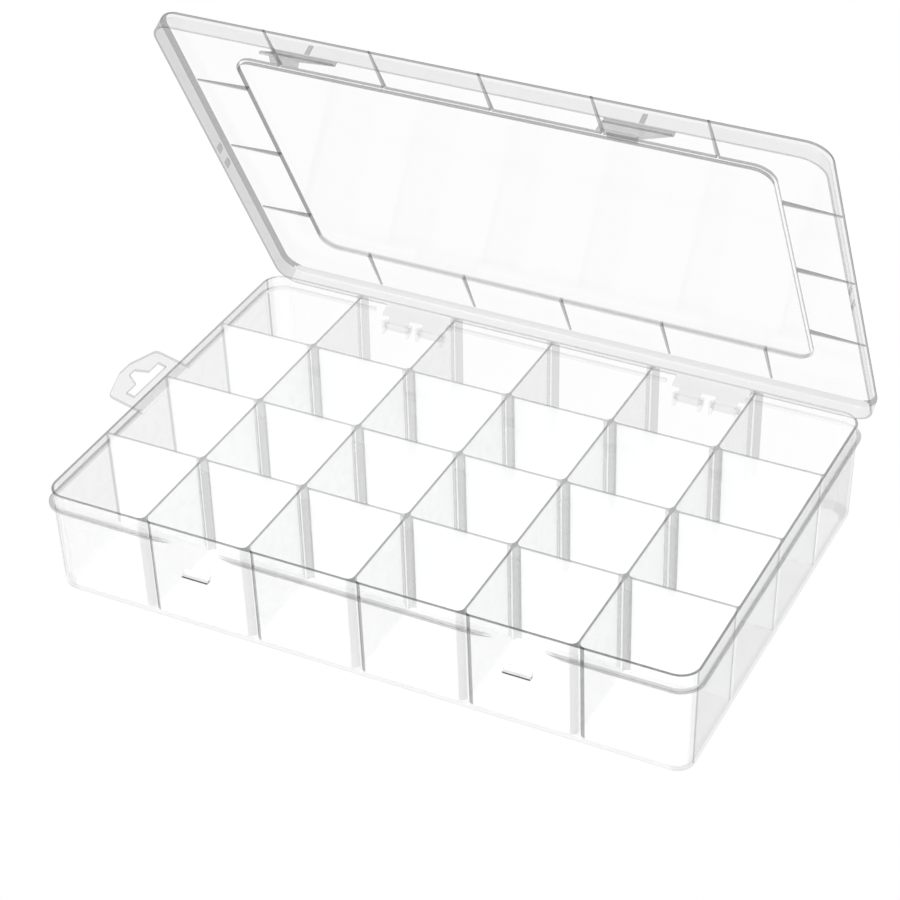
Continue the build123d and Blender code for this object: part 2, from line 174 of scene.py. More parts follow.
def weld(piece, features):
    """Fuse features into a piece as one skin, as the mould does, and remove the separate features."""
    for feature in features:
        join = piece.modifiers.new(feature.name, "BOOLEAN")
        join.solver = "EXACT"
        join.operation = "UNION"
        join.object = feature
    apply_modifiers(piece)
    for feature in features:
        bpy.data.objects.remove(feature)


def settle(piece):
    """Weight normals by face area, so that large walls stay optically flat beside small roundings."""
    piece.data.shade_smooth()
    piece.data.set_sharp_from_angle(angle=SHARP_EDGE)
    weights = piece.modifiers.new("weighted_normals", "WEIGHTED_NORMAL")
    weights.keep_sharp = True
    apply_modifiers(piece)


def mark_painted_shade_and_haze(piece, share):
    """Store on each face its painted shade: 1 for a dark edge, and below 0 the haze of a clear wall."""
    values = [share(face.center / MM, face.normal) for face in piece.data.polygons]
    piece.data.attributes.new("painted_shade_and_haze", "FLOAT", "FACE").data.foreach_set("value", values)
    print(piece.name, "thick faces:", sum(v > 0 for v in values), "of", len(values))


# %% [markdown]
# Small features, such as ribs, catches and hinge arms, are drawn as a flat profile and given a width.
# One function makes them all: it fills the profile, copies it across and closes the sides.

# %% Prism
def prism(name, profile, width, place, holes=()):
    """A profile in the plane of place, centred on it and given a width along its third axis."""
    bm = bmesh.new()
    ends = []
    for shift in (-0.5 * width, 0.5 * width):
        ends.append([[bm.verts.new(place @ Vector((x * MM, y * MM, shift * MM))) for x, y in loop]
                     for loop in (profile, *holes)])
        span(bm, ends[-1], place.to_3x3() @ Vector((0, 0, 1)))
    for low, high in zip(*ends):
        loft(bm, (high, low))
    return finished(bm, name)


def plane_at(x, y, z, right, up):
    """A placement whose first two axes are given, at a point in millimetres."""
    right, up = Vector(right).normalized(), Vector(up).normalized()
    axes = Matrix((right, up, right.cross(up))).transposed().to_4x4()
    return Matrix.Translation(Vector((x, y, z)) * MM) @ axes


def upright(x, y, z):
    """A placement for a profile whose first axis points to the rear and whose second one points up."""
    return plane_at(x, y, z, (0, 1, 0), (0, 0, 1))


def arc(x, y, radius, start, end, steps=12):
    """Points along an arc, angles in degrees."""
    return [(x + radius * cos(radians(start + (end - start) * i / steps)),
             y + radius * sin(radians(start + (end - start) * i / steps))) for i in range(steps + 1)]


# %% [markdown]
# ## Tray moulding, outside
# The wall comes down from a softly rounded rim, steps out to the ledge that carries the lid, and ends in
# a rounded foot. The ledge is part of the same skin: its reach is simply less where the clasps, the
# hinges and the hang tab pass it, so no seam shows through the clear wall.

# %% Outside of the tray
GAP_FLAT, GAP_END = 13.0, 22.0
HINGE_GAP, TAB_HALF = 21.5, 23.0
FLUSH = 0.02
RIM_ROUNDING, RIM_BITE = 0.35, 0.1
gap_stops = (GAP_FLAT, (GAP_FLAT + GAP_END) / 2, GAP_END)
clasp_stops = [x + side * s for x in FASTENERS for side in (-1, 1) for s in gap_stops]
hinge_stops = [x + side * s for x in FASTENERS for side in (-1, 1)
               for s in (HINGE_GAP, HINGE_GAP + FLUSH)]
tab_stops = (TAB_HALF, TAB_HALF - FLUSH, FLUSH - TAB_HALF, -TAB_HALF)
tray_line = outline(CORE_X, CORE_Y, front=sorted(clasp_stops), rear=sorted(hinge_stops, reverse=True),
                    left=tab_stops)


def ledge_reach(point):
    """How far the ledge stands out of the wall at an outline point."""
    x, y, nx, ny = point
    near = min(abs(x - f) for f in FASTENERS)
    if ny == -1 and near < GAP_END:
        return max(FLUSH, LEDGE_REACH * (near - GAP_FLAT) / (GAP_END - GAP_FLAT))
    if ny == 1 and near < HINGE_GAP + FLUSH / 2:
        return FLUSH
    if nx == -1 and abs(y) < TAB_HALF - FLUSH / 2:
        return FLUSH
    return LEDGE_REACH


def ledge_ring(bm, z, edge):
    """A ring at a height of the ledge. An edge of 0 lies on the wall and of 1 on the ledge's outline."""
    wall = CORNER - inset(z)
    lip = CORNER - wall
    reaches = [ledge_reach(point) for point in tray_line]
    return ring(bm, tray_line, [wall + edge * (reach + lip) if reach > FLUSH else wall + FLUSH * edge
                                for reach in reaches], z)


bm = bmesh.new()
outer = [ring(bm, tray_line, CORNER - RIM_ROUNDING, RIM),
         ring(bm, tray_line, CORNER - RIM_BITE, RIM - RIM_BITE),
         ring(bm, tray_line, CORNER - inset(RIM - RIM_ROUNDING), RIM - RIM_ROUNDING)]
for z, edge in ((LEDGE_TOP, 0), (LEDGE_TOP, 0.85), (LEDGE_TOP - 0.25, 1), (LEDGE_FOOT + 0.25, 1),
                (LEDGE_FOOT, 0.85), (LEDGE_FOOT, 0)):
    outer.append(ledge_ring(bm, z, edge))
outer.append(ring(bm, tray_line, CORNER - inset(FOOT), FOOT))
for i in range(1, 9):
    turn = i * pi / 16
    outer.append(ring(bm, tray_line, CORNER - inset(0) - FOOT * (1 - cos(turn)), FOOT * (1 - sin(turn))))
loft(bm, outer)
bm.faces.new(outer[-1])
print("outside of the tray:", len(bm.faces), "faces")

# %% [markdown]
# ## Tray moulding, compartments
# Each compartment is a pocket in the same skin. Where a divider meets a wall or another divider the
# mould leaves a 3 mm fillet, which shows as a pale grey stripe from rim to floor, and a much smaller one
# at the two short walls. The pockets against the box's corners take the outside wall's large radius.

# %% Compartments
FILLET, SIDE_FILLET, WALL_COVE, DIVIDER_COVE = 3.0, 1.0, 3.2, 0.8


def cove(radius, z):
    """How far the rounding between a wall and the floor stands out of the wall at a height."""
    rise = min(radius, max(0.0, FLOOR + radius - z))
    return radius - sqrt(radius * radius - rise * rise)


def pocket_ring(column, row, z, lip=0.0):
    """A compartment's outline at a height, widened by a lip at the rim."""
    lean = inset(z) + WALL
    edge = [column == 0, row == 0, column == 5, row == 3]
    shrink = [cove(WALL_COVE if e else DIVIDER_COVE, z) - lip for e in edge]
    low = [-HALF_X + (lean if edge[0] else column * COLUMN + DIVIDER / 2) + shrink[0],
           -HALF_Y + (lean if edge[1] else row * ROW + DIVIDER / 2) + shrink[1]]
    high = [HALF_X - lean if edge[2] else -HALF_X + (column + 1) * COLUMN - DIVIDER / 2,
            HALF_Y - lean if edge[3] else -HALF_Y + (row + 1) * ROW - DIVIDER / 2]
    high = [high[0] - shrink[2], high[1] - shrink[3]]
    loop = []
    for turn, (sx, sy) in enumerate(QUADRANTS):
        at_side = edge[2 if sx > 0 else 0]
        outermost = at_side and edge[3 if sy > 0 else 1]
        fillet = SIDE_FILLET if at_side else FILLET
        radius = CORNER - lean - cove(WALL_COVE, z) if outermost else fillet - cove(DIVIDER_COVE, z)
        radius += lip
        x = high[0] - radius if sx > 0 else low[0] + radius
        y = high[1] - radius if sy > 0 else low[1] + radius
        loop += [bm.verts.new(((x + radius * cos(a)) * MM, (y + radius * sin(a)) * MM, z * MM))
                 for a in corner_angles(turn, CORNER_STEPS if outermost else FILLET_STEPS)]
    return loop


heights = [FLOOR + WALL_COVE * (1 - sin(radians(a))) for a in (0, 12, 24, 36, 48)]
heights += [FLOOR + DIVIDER_COVE * (1 - sin(radians(a))) for a in (12, 30, 50, 70)] + [FLOOR]
mouths = []
for row in range(4):
    for column in range(6):
        rings = [pocket_ring(column, row, RIM, 0.3), pocket_ring(column, row, RIM - 0.08, 0.08)]
        rings += [pocket_ring(column, row, z) for z in (RIM - 0.3, *heights)]
        loft(bm, rings, inward=True)
        bm.faces.new(rings[-1])
        mouths.append(rings[0])
span(bm, [outer[0], *mouths], (0, 0, 1))
tray = finished(bm, "tray_moulding")
print("tray:", len(tray.data.polygons), "faces,", len(mouths), "compartments")

# %% [markdown]
# ## Hang tab, catches and hinge ears
# The tab rises from the left wall and has the slot and notch that shop hooks need. The catches are
# sloped above and flat below, so that a clasp rides over and snaps under. The ears stand on the rear
# wall in pairs, with a hole for the lid's pins.

# %% Hang tab
TILT, TAB_THICKNESS = radians(14), 1.8
tab_place = plane_at(-HALF_X, 0, LEDGE_TOP - 2.5 * tan(TILT), (0, 1, 0), (-cos(TILT), 0, sin(TILT)))
tab_place = tab_place @ Matrix.Translation((0, 0, -TAB_THICKNESS / 2 * MM))
tab = [(-TAB_HALF, -0.6), *arc(-19.2, 17.2, 3.8, 180, 125, 6), *arc(-4.4, 21.6, 3.4, 108, 90, 3),
       *arc(4.4, 21.6, 3.4, 90, 72, 3), *arc(19.2, 17.2, 3.8, 55, 0, 6), (TAB_HALF, -0.6)]
slot = [(-15.5, 9.3), (-15.5, 14.1), (-6.5, 14.1), (-2.5, 20.5), (2.5, 20.5), (6.5, 14.1), (15.5, 14.1),
        (15.5, 9.3)]
hang_tab = prism("hang_tab", tab, TAB_THICKNESS, tab_place, holes=(slot,))

# %% Catches
CATCH_FOOT, CATCH_WIDTH = 33.3, 14.0
wall_y = -HALF_Y + inset(CATCH_FOOT)
catch_profile = [(0.5, 0), (-3.0, 0), (-3.0, 0.9), (-0.2, 3.4), (0.5, 3.4)]
features = [hang_tab]
for x in FASTENERS:
    features.append(prism("catch", catch_profile, CATCH_WIDTH, upright(x, wall_y, CATCH_FOOT)))

# %% Hinge ears
reach = HALF_Y - HINGE_Y
ear = [(reach - 0.9, -4.0), *arc(0, 0, 2.8, -55, 55, 12), (reach - 0.9, 4.0)]
hole = arc(0, 0, 1.45, 0, 337.5, 15)
HINGE_PAIRS, EAR_SIDES = (-10.0, 10.0), (-7.0, 7.0)
for x in FASTENERS:
    for pair in HINGE_PAIRS:
        for side in EAR_SIDES:
            place = upright(x + pair + side, HINGE_Y, HINGE_Z)
            features.append(prism("ear", ear, 1.6, place, holes=(hole,)))
weld(tray, features)
settle(tray)
print("tray with its features:", len(tray.data.polygons), "faces")

# %% [markdown]
# Seen through its rim, its ledge or a fillet, the plastic is many times thicker than a wall, so these
# places look grey. Here that grey is painted shade: each face keeps a number, which the material reads
# further down as a grey tint. It is set differently by side, mostly darker towards the front right on
# the camera's side, and darker towards the rim on fillets. A number below zero marks a wall so flat and
# thin that the eye looks straight through it, and the further below zero, the milkier the wall.

# %% Painted shade and haze of the tray
CLEAR, MILKY_FRONT, MILKY_INSIDE = -0.1, -0.16, -0.26
# The numbers above zero are painted shade; those below zero are the haze of clear walls.
RIM_OUTER, RIM_REAR, RIM_COLUMN, RIM_ROW = 0.62, 0.25, 0.58, 0.4
TAB_FACE, TAB_EDGE = 0.07, 0.3
CATCH_TIP, CATCH_UNDER, CATCH_SIDE, CATCH_SLOPE = 1.0, 0.45, 0.3, -0.2
LEDGE_FACE, LEDGE_EDGE, LEDGE_LEFT_EDGE, LEDGE_REAR = 0.28, 0.12, 0.4, 0.08
HINGE_EAR = 0.06
WALL_LEFT_TOP, WALL_RIGHT, WALL_SIDE, WALL_FOOT = 0.14, 0.09, 0.055, 0.05
CORNER_LINE, CORNER_SIDE, CORNER_FOOT = 0.45, 0.1, 0.1
FILLET_FRONT, FILLET_FRONT_LEFT, FILLET_BEHIND = 0.6, 0.22, 0.02
FILLET_LOW, FILLET_RISE, FILLET_LEFT = 0.2, 0.28, 0.7


def catch_painted_shade_and_haze(normal):
    """Painted shade of a catch, so that it reads as a dark bar below a clear slope."""
    if normal.z < -0.5:
        return CATCH_UNDER
    if abs(normal.x) > 0.5:
        return CATCH_SIDE
    return CATCH_TIP if abs(normal.z) < 0.3 else CATCH_SLOPE


def fillet_painted_shade(y, z, normal, near):
    """Painted shade of an upright fillet: most at the front wall, and darker towards the rim."""
    if y < -HALF_Y + 5.5:
        return (FILLET_FRONT if normal.x > 0 else FILLET_FRONT_LEFT) * near
    if normal.y < 0:
        return (FILLET_LOW + FILLET_RISE * z / RIM) * near * (1 if normal.x > 0 else FILLET_LEFT)
    return FILLET_BEHIND


def tray_painted_shade_and_haze(centre, normal):
    """Painted shade and haze of the tray at a face. The shade is painted darker on the camera's side,
    towards the front right.
    """
    x, y, z = centre
    past_x, past_y = abs(x) - CORE_X, abs(y) - CORE_Y
    corner = past_x > 0 and past_y > 0
    out = (hypot(past_x, past_y) if corner else max(past_x, past_y)) - CORNER + inset(z)
    rear = y > 0 and past_y > max(0.0, past_x)
    # near: painted shade, darker towards the front right on the camera's side; it raises the grey of
    # rims, ledges and fillets.
    near = 1.0 + 0.15 * x / HALF_X - 0.15 * y / HALF_Y
    if z > RIM - 0.32:
        if out > -1.6:
            return RIM_REAR if rear else RIM_OUTER * near
        from_column = min(abs(x + HALF_X - i * COLUMN) for i in range(1, 6))
        return near * (RIM_COLUMN if from_column < 0.7 else RIM_ROW)
    if x < -HALF_X - 0.6 and abs(y) < TAB_HALF + 0.5 and z > 44:
        return TAB_FACE if abs(normal.dot(tab_place.to_3x3().col[2])) > 0.9 else TAB_EDGE
    if out > 0.05:
        if y < 0 and z < CATCH_FOOT + 4:
            return catch_painted_shade_and_haze(normal)
        if LEDGE_FOOT - 0.1 < z < LEDGE_TOP + 0.1:
            edge = LEDGE_LEFT_EDGE if x < -HALF_X else LEDGE_EDGE
            return LEDGE_REAR if rear else (LEDGE_FACE if abs(normal.z) > 0.5 else edge) * near
        return HINGE_EAR
    if x < -HALF_X + 0.5 and z > LEDGE_TOP:
        return WALL_LEFT_TOP
    if corner and z < FOOT:
        return CORNER_FOOT
    if corner and out < -0.6:
        return CLEAR
    if corner:
        if 0.92 < abs(normal.x) < 0.97:
            return CORNER_LINE
        return CORNER_SIDE if abs(normal.x) > 0.8 else MILKY_FRONT
    if z < FLOOR + WALL_COVE:
        return WALL_FOOT if out > -FOOT and z > 0.5 else CLEAR
    if min(abs(normal.x), abs(normal.y)) > 0.05:
        return fillet_painted_shade(y, z, normal, near)
    if abs(normal.x) > 0.9:
        return WALL_RIGHT if x > HALF_X - 4 else WALL_SIDE
    if abs(normal.y) > 0.9 and y < HALF_Y - 4:
        return MILKY_INSIDE if y > -HALF_Y + 4 else MILKY_FRONT
    return CLEAR


mark_painted_shade_and_haze(tray, tray_painted_shade_and_haze)

# %% [markdown]
# ## Lid moulding
# The lid is drawn shut, over the tray, and then swung open with its hinge. Its skin is one loft: skirt,
# rounded edge, flat margin, the slope up to the window and the raised panel, outside and then inside.

# %% Lid shell
SKIRT_FOOT, MARGIN_TOP, LID_TOP = 51.6, 61.7, 63.8
UNDERSIDE, PANEL_UNDER = 60.3, 62.4
EDGE, EDGE_INNER, EDGE_STEPS, SKIRT = 2.4, 3.6, 10, 1.2
WINDOW_X, WINDOW_Y, WINDOW = 128.5, 72.25, 10.5
STEP_RUN = 2.1 * tan(radians(12))
INNER_SHIFT = 1.4 * (1 - sin(radians(12))) / cos(radians(12))
LID = CORNER + LEDGE_REACH
LID_X, LID_Y = CORE_X + LID, CORE_Y + LID
lid_line = outline(CORE_X, CORE_Y)
window_line = outline(WINDOW_X, WINDOW_Y)


def rounded(radius, z, edge):
    """Rings that turn a wall's top over into the flat margin, from the top downwards."""
    angles = [i * pi / 2 / EDGE_STEPS for i in range(EDGE_STEPS + 1)]
    return [(radius - edge + edge * sin(a), z - edge + edge * cos(a)) for a in angles]


bm = bmesh.new()
outside = [ring(bm, window_line, r, z) for r, z in (
    (WINDOW - STEP_RUN - 0.45, LID_TOP), (WINDOW - STEP_RUN - 0.12, LID_TOP - 0.06),
    (WINDOW - STEP_RUN + 0.15, LID_TOP - 0.3), (WINDOW - 0.15, MARGIN_TOP + 0.3),
    (WINDOW + 0.12, MARGIN_TOP + 0.06), (WINDOW + 0.45, MARGIN_TOP))]
outside += [ring(bm, lid_line, r, z) for r, z in rounded(LID, MARGIN_TOP, EDGE)]
outside += [ring(bm, lid_line, r, z) for r, z in (
    (LID, SKIRT_FOOT + 0.3), (LID - 0.1, SKIRT_FOOT + 0.08), (LID - 0.35, SKIRT_FOOT))]
inner_window = WINDOW - INNER_SHIFT
inside = [ring(bm, window_line, inner_window - STEP_RUN, PANEL_UNDER),
          ring(bm, window_line, inner_window, UNDERSIDE)]
inside += [ring(bm, lid_line, r, z) for r, z in rounded(LID - SKIRT, UNDERSIDE, EDGE_INNER)]
inside += [ring(bm, lid_line, r, z) for r, z in (
    (LID - SKIRT, SKIRT_FOOT + 0.3), (LID - SKIRT + 0.1, SKIRT_FOOT + 0.08),
    (LID - SKIRT + 0.35, SKIRT_FOOT))]
bm.faces.new(outside[0])
bm.faces.new(inside[0])
loft(bm, outside)
loft(bm, inside, inward=True)
loft(bm, (outside[-1], inside[-1]))
lid = finished(bm, "lid_moulding")
print("lid shell:", len(lid.data.polygons), "faces")

# %% [markdown]
# ## Ribs, gussets and nibs of the lid
# Thin wedge ribs brace the raised panel on the margin, in line with the dividers below. A bar stiffens
# the skirt above each clasp, and two small nibs inside each short side centre the lid on the tray.

# %% Ribs on the margin
RIB_REACH = 31.0
features = []
rib = [(-EDGE, -0.4), (-EDGE, 0.6), (-RIB_REACH - STEP_RUN, 2.1), (-RIB_REACH - STEP_RUN - 0.5, 1.8),
       (-RIB_REACH - 0.4, -0.4)]
spots = [(-HALF_X + i * COLUMN, side * LID_Y, (0, side, 0)) for i in range(1, 6) for side in (-1, 1)]
spots += [(side * LID_X, -HALF_Y + i * ROW, (side, 0, 0)) for i in range(1, 4) for side in (-1, 1)]
for x, y, away in spots:
    features.append(prism("rib", rib, 1.0, plane_at(x, y, MARGIN_TOP, away, (0, 0, 1))))

# %% Bars, nibs and the strips that carry the clasps
bar = [(-0.5, -7.6), (0, -7.6), (0.45, -7.0), (0.45, -1.2), (-0.5, -1.2)]
strip = [(0, -2.5), (0.6, -2.5), (0.6, 0.5), (0, 0.5)]
nib = [(0.4, -3.3), (0, -3.0), (-0.5, 0), (0, 3.0), (0.4, 3.3)]
for x in FASTENERS:
    features.append(prism("bar", bar, 2.4, upright(x, -LID_Y + SKIRT, UNDERSIDE)))
    features.append(prism("strip", strip, 34.0, upright(x, -LID_Y, SKIRT_FOOT)))
for side in (-1, 1):
    for y in (-6.5, 6.5):
        place = plane_at(side * (LID_X - SKIRT), y, SKIRT_FOOT + 3.3, (side, 0, 0), (0, side, 0))
        features.append(prism("nib", nib, 3.6, place))

# %% Hinge arms with their knuckles, pins and the apron that joins them
arm_top = SKIRT_FOOT - HINGE_Z
arm_out = LID_Y - HINGE_Y
arm_in = arm_out - SKIRT
arm = [(arm_in, arm_top + 0.5), (arm_in, 0.4), *arc(0, 0, 2.3, 165, 395, 18), (arm_out, 1.9),
       (arm_out, arm_top + 0.5)]
pin = arc(0, 0, 1.4, 0, 337.5, 15)
apron = [(arm_in, arm_top + 0.5), (arm_in, arm_top - 6.4), (arm_out, arm_top - 6.4),
         (arm_out, arm_top + 0.5)]
for x in FASTENERS:
    features.append(prism("apron", apron, 41.0, upright(x, HINGE_Y, HINGE_Z)))
    for pair in HINGE_PAIRS:
        place = upright(x + pair, HINGE_Y, HINGE_Z)
        features.append(prism("arm", arm, 11.8, place))
        features.append(prism("pin", pin, 15.6, place))
weld(lid, features)
settle(lid)
print("lid with its features:", len(lid.data.polygons), "faces")

# %% Painted shade and haze of the lid
# The numbers above zero are painted shade.
STEP_REAR, STEP_FRONT, STEP_SIDE = 0.28, 0.62, 0.45
LID_RIB, LID_BAR, LID_NIB = 0.48, 0.5, 0.4
HINGE_ARM, CLASP_STRIP, FREE_EDGE = 0.08, 0.3, 0.35
LID_EDGE, LID_EDGE_REAR = 0.62, 0.22
SKIRT_FACE, SKIRT_LEFT = 0.07, 0.28


def lid_painted_shade_and_haze(centre, normal):
    """Painted shade and haze of the lid at a face."""
    x, y, z = centre
    out_x, out_y = abs(x) - (LID_X - SKIRT), abs(y) - (LID_Y - SKIRT)
    if abs(x) < WINDOW_X + WINDOW + 0.3 and abs(y) < WINDOW_Y + WINDOW + 0.3:
        if abs(normal.z) > 0.97:
            return CLEAR
        return STEP_REAR if y > WINDOW_Y else STEP_FRONT if y < -WINDOW_Y else STEP_SIDE
    if z > MARGIN_TOP + 0.05:
        return LID_RIB
    if z < SKIRT_FOOT - 0.05:
        return HINGE_ARM if y > 0 else CLASP_STRIP
    if z < SKIRT_FOOT + 0.3:
        return FREE_EDGE
    if y < 0 and -0.5 < out_y < -0.02 and min(abs(x - f) for f in FASTENERS) < 1.25:
        return LID_BAR
    if abs(y) < 10 and -0.6 < out_x < -0.02 and z < SKIRT_FOOT + 5.5:
        return LID_NIB
    if z > MARGIN_TOP - EDGE and 0.05 < normal.z < 0.99:
        return LID_EDGE_REAR if y > 0 and out_y > -1.3 else LID_EDGE
    if z < MARGIN_TOP - 0.1 and abs(normal.z) < 0.5:
        return SKIRT_LEFT if x < 0 and normal.x < -0.5 else SKIRT_FACE
    return CLEAR


mark_painted_shade_and_haze(lid, lid_painted_shade_and_haze)

# %% [markdown]
# ## Opening the lid
# The lid turns about the pins. It is modelled shut, where its sizes are easy to read, and this placement
# swings it by 62.2 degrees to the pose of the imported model.

# %% Swing the lid
LID_OPENING = 62.2
pins = Vector((0, HINGE_Y * MM, HINGE_Z * MM))
swing = (Matrix.Translation(pins) @ Matrix.Rotation(radians(-LID_OPENING), 4, "X")
         @ Matrix.Translation(-pins))
lid.data.transform(swing)

# %% [markdown]
# ## Clasps
# Each clasp hangs from the lid on a living hinge, a film of the same plastic that can bend thousands of
# times. It is a slightly tapered plate with a flared lip to pull and a hook inside that catches under
# the tray's catch. The plate is lofted from rounded cross sections, which gives it soft edges.

# %% Clasp
CLASP_LENGTH, CLASP_HALF, CLASP_TAPER, CLASP_TIP = 26.5, 17.0, 7.5, 3.0
FILM_LENGTH, RUN_IN = 0.45, 1.2
PLATE_INNER, PLATE_OUTER = -0.4, 0.8
LIP_START, LIP_BEND, LIP_ANGLE = 21.33, 5.2, radians(20)
CLASP_TOP, CLASP_LEAN = 49.1, 4.5
CLASP_STATIONS = (0.45, 0.75, 1.15, 1.65, 5, 10, 15, 20, 21.3, 22.2, 23.1, 23.9, 24.7, 25.3, 25.8, 26.2,
                  26.4)
# Painted shade of the clasp's plate and of its edges and hook.
CLASP_FACE, CLASP_EDGE = 0.17, 0.25
LEFT_OPENING, RIGHT_OPENING = 50.0, 43.0


def clasp_section(v):
    """Half width, inner face and outer face of the clasp at a distance from its hinge."""
    half = CLASP_HALF - CLASP_TAPER * v / CLASP_LENGTH
    tip = v - (CLASP_LENGTH - CLASP_TIP)
    if tip > 0:
        half -= CLASP_TIP - sqrt(max(0, CLASP_TIP * CLASP_TIP - tip * tip))
    flare = max(0.0, v - LIP_START)
    bend = flare * flare / (2 * LIP_BEND) * tan(LIP_ANGLE)
    start = min(1.0, (v - FILM_LENGTH) / RUN_IN)
    return half, PLATE_INNER + bend, PLATE_OUTER * start + bend


def clasp_painted_shade(centre, normal):
    """Painted shade of a clasp at a face: less on its plate than at its edges and its hook."""
    return CLASP_FACE if abs(normal.y) > 0.9 and centre.y < 0.5 else CLASP_EDGE


def make_clasp(name, x, opening):
    """A clasp with its hook, hung on the swung lid and opened by an angle."""
    bm = bmesh.new()
    rings = []
    for v in CLASP_STATIONS:
        half, inner, outer = clasp_section(v)
        soft = 0.22 if v > 1.2 else 0.1
        section = []
        for turn, (sx, sy) in enumerate(QUADRANTS):
            face = outer if sy > 0 else inner
            start = 90 * turn - 90
            section += [bm.verts.new((px * MM, -py * MM, -v * MM)) for px, py in
                        arc(sx * half - sx * soft, face - sy * soft, soft, start, start + 90, 3)]
        rings.append(section)
    loft(bm, rings)
    bm.faces.new(rings[0])
    bm.faces.new(rings[-1])
    clasp = finished(bm, name)
    hook_top = (CLASP_TOP - CATCH_FOOT + 0.4) / cos(radians(CLASP_LEAN))
    hook = [(0.2, 0), (-3.0, 0), (-3.1, -0.1), (-3.1, -1.2), (-3.0, -1.35), (0.0, -3.9), (0.2, -3.9)]
    hook = [(u + PLATE_INNER, v - hook_top) for u, v in hook]
    weld(clasp, [prism("hook", hook, CATCH_WIDTH, plane_at(0, 0, 0, (0, -1, 0), (0, 0, 1)))])
    settle(clasp)
    mark_painted_shade_and_haze(clasp, clasp_painted_shade)
    root = swing @ Matrix.Translation((x * MM, -LID_Y * MM, CLASP_TOP * MM))
    clasp.data.transform(root @ Matrix.Rotation(radians(-CLASP_LEAN - opening), 4, "X"))
    return clasp, root


left_clasp, left_root = make_clasp("left_clasp", FASTENERS[0], LEFT_OPENING)
right_clasp, right_root = make_clasp("right_clasp", FASTENERS[1], RIGHT_OPENING)

# %% [markdown]
# ## Living hinges
# The film between lid and clasp is bent by the clasp's opening. It is a thin ribbon whose points lie
# along the lid at one edge and along the clasp at the other, built once for the opening that each clasp
# has here.

# %% Hinge films
FILM_HALF, FILM_INNER, FILM_OUTER = 16.9, 0.04, 0.34


def make_film(name, root, opening):
    """A thin ribbon from the lid's strip to a clasp's root, and where its bend starts and ends."""
    bm = bmesh.new()
    turn = radians(CLASP_LEAN + opening)
    rings = []
    for t in (-0.35, -0.15, 0.0, 0.15, 0.3, 0.45, 0.65, 0.85):
        bend = turn * min(1.0, max(0.0, t / FILM_LENGTH))
        away = Vector((0, -sin(bend), -cos(bend))) * t
        across = Vector((0, cos(bend), -sin(bend)))
        section = []
        for u, w in ((-FILM_HALF, FILM_INNER), (FILM_HALF, FILM_INNER), (FILM_HALF, FILM_OUTER),
                     (-FILM_HALF, FILM_OUTER)):
            point = away + across * w
            section.append(bm.verts.new(root @ (Vector((u, point.y, point.z)) * MM)))
        rings.append(section)
    loft(bm, rings)
    bm.faces.new(rings[0])
    bm.faces.new(rings[-1])
    film = finished(bm, name)
    start = root @ Vector((0, 0, 0))
    end = root @ (Vector((0, -sin(turn), -cos(turn))) * FILM_LENGTH * MM)
    return film, start, end


left_film, left_start, left_end = make_film("left_hinge_film", left_root, LEFT_OPENING)
right_film, right_start, right_end = make_film("right_hinge_film", right_root, RIGHT_OPENING)
print("hinge films:", left_film.name, "and", right_film.name)

# %% [markdown]
# ## Material: clear injection-moulded polypropylene
# Random-copolymer polypropylene is clear with a faint milky haze. Its refractive index is 1.49. The
# polished mould leaves it glossy, with a slow ripple from the flow of the melt and slightly duller
# patches. Light that travels along a wall to its edge is dimmed, which is why rims and dividers look
# grey while the faces are nearly invisible. Here that grey is painted shade: the number on each face
# says how much, the material goes from white to grey with it, and faces below zero become a little
# milky instead.
#
# Only faces with no number are drawn as solid refracting plastic, such as the films. All others are
# drawn as thin sheets tinted with their painted shade, with a sheen, so that a wall behind ten other
# walls stays readable.

# %% Colour and node helpers
def srgb(code):
    """A hex colour as Blender's linear values."""
    parts = [int(code[i:i + 2], 16) / 255 for i in (1, 3, 5)]
    return (*[p / 12.92 if p <= 0.04045 else ((p + 0.055) / 1.055) ** 2.4 for p in parts], 1.0)


def add_node(tree, kind, settings=None, inputs=None):
    """Add a node with its settings, and give each named input a value or a link."""
    node = tree.nodes.new(kind)
    for name, value in (settings or {}).items():
        setattr(node, name, value)
    for name, value in (inputs or {}).items():
        if isinstance(value, bpy.types.NodeSocket):
            tree.links.new(value, node.inputs[name])
        else:
            node.inputs[name].default_value = value
    return node


def empty_tree(owner):
    """The node tree of a new material or world, with nothing in it yet."""
    owner.use_nodes = True
    owner.node_tree.nodes.clear()
    return owner.node_tree


def mix(tree, share, first, second):
    """A blend of two shaders."""
    return add_node(tree, "ShaderNodeMixShader", inputs={
        "Fac": share, 1: first.outputs[0], 2: second.outputs[0]})


def remap(tree, value, start, end, low, high):
    """A number carried from the range start to end over to the range low to high, and kept within it."""
    node = add_node(tree, "ShaderNodeMapRange", inputs={
        "Value": value, "From Min": start, "From Max": end, "To Min": low, "To Max": high})
    return node.outputs["Result"]


# %% Clear polypropylene
# The second tint is the grey of painted shade, reached where a face's number is 1.
WALL_TINT, PAINTED_SHADE_TINT, INNER_TINT = "#FFFFFF", "#616161", "#919191"
MILK_TINT, SHADOW_TINT = "#FDFDFD", "#F2F3F3"
HAZE, DIMMING, REFRACTION = 0.01, 2.0, 1.49
SHEET_FROM, SHEET_SHARE = 0.02, 0.97
MILKY_FROM, MILKY_TO, MILKY_SHARE = -0.1, -0.3, 0.6


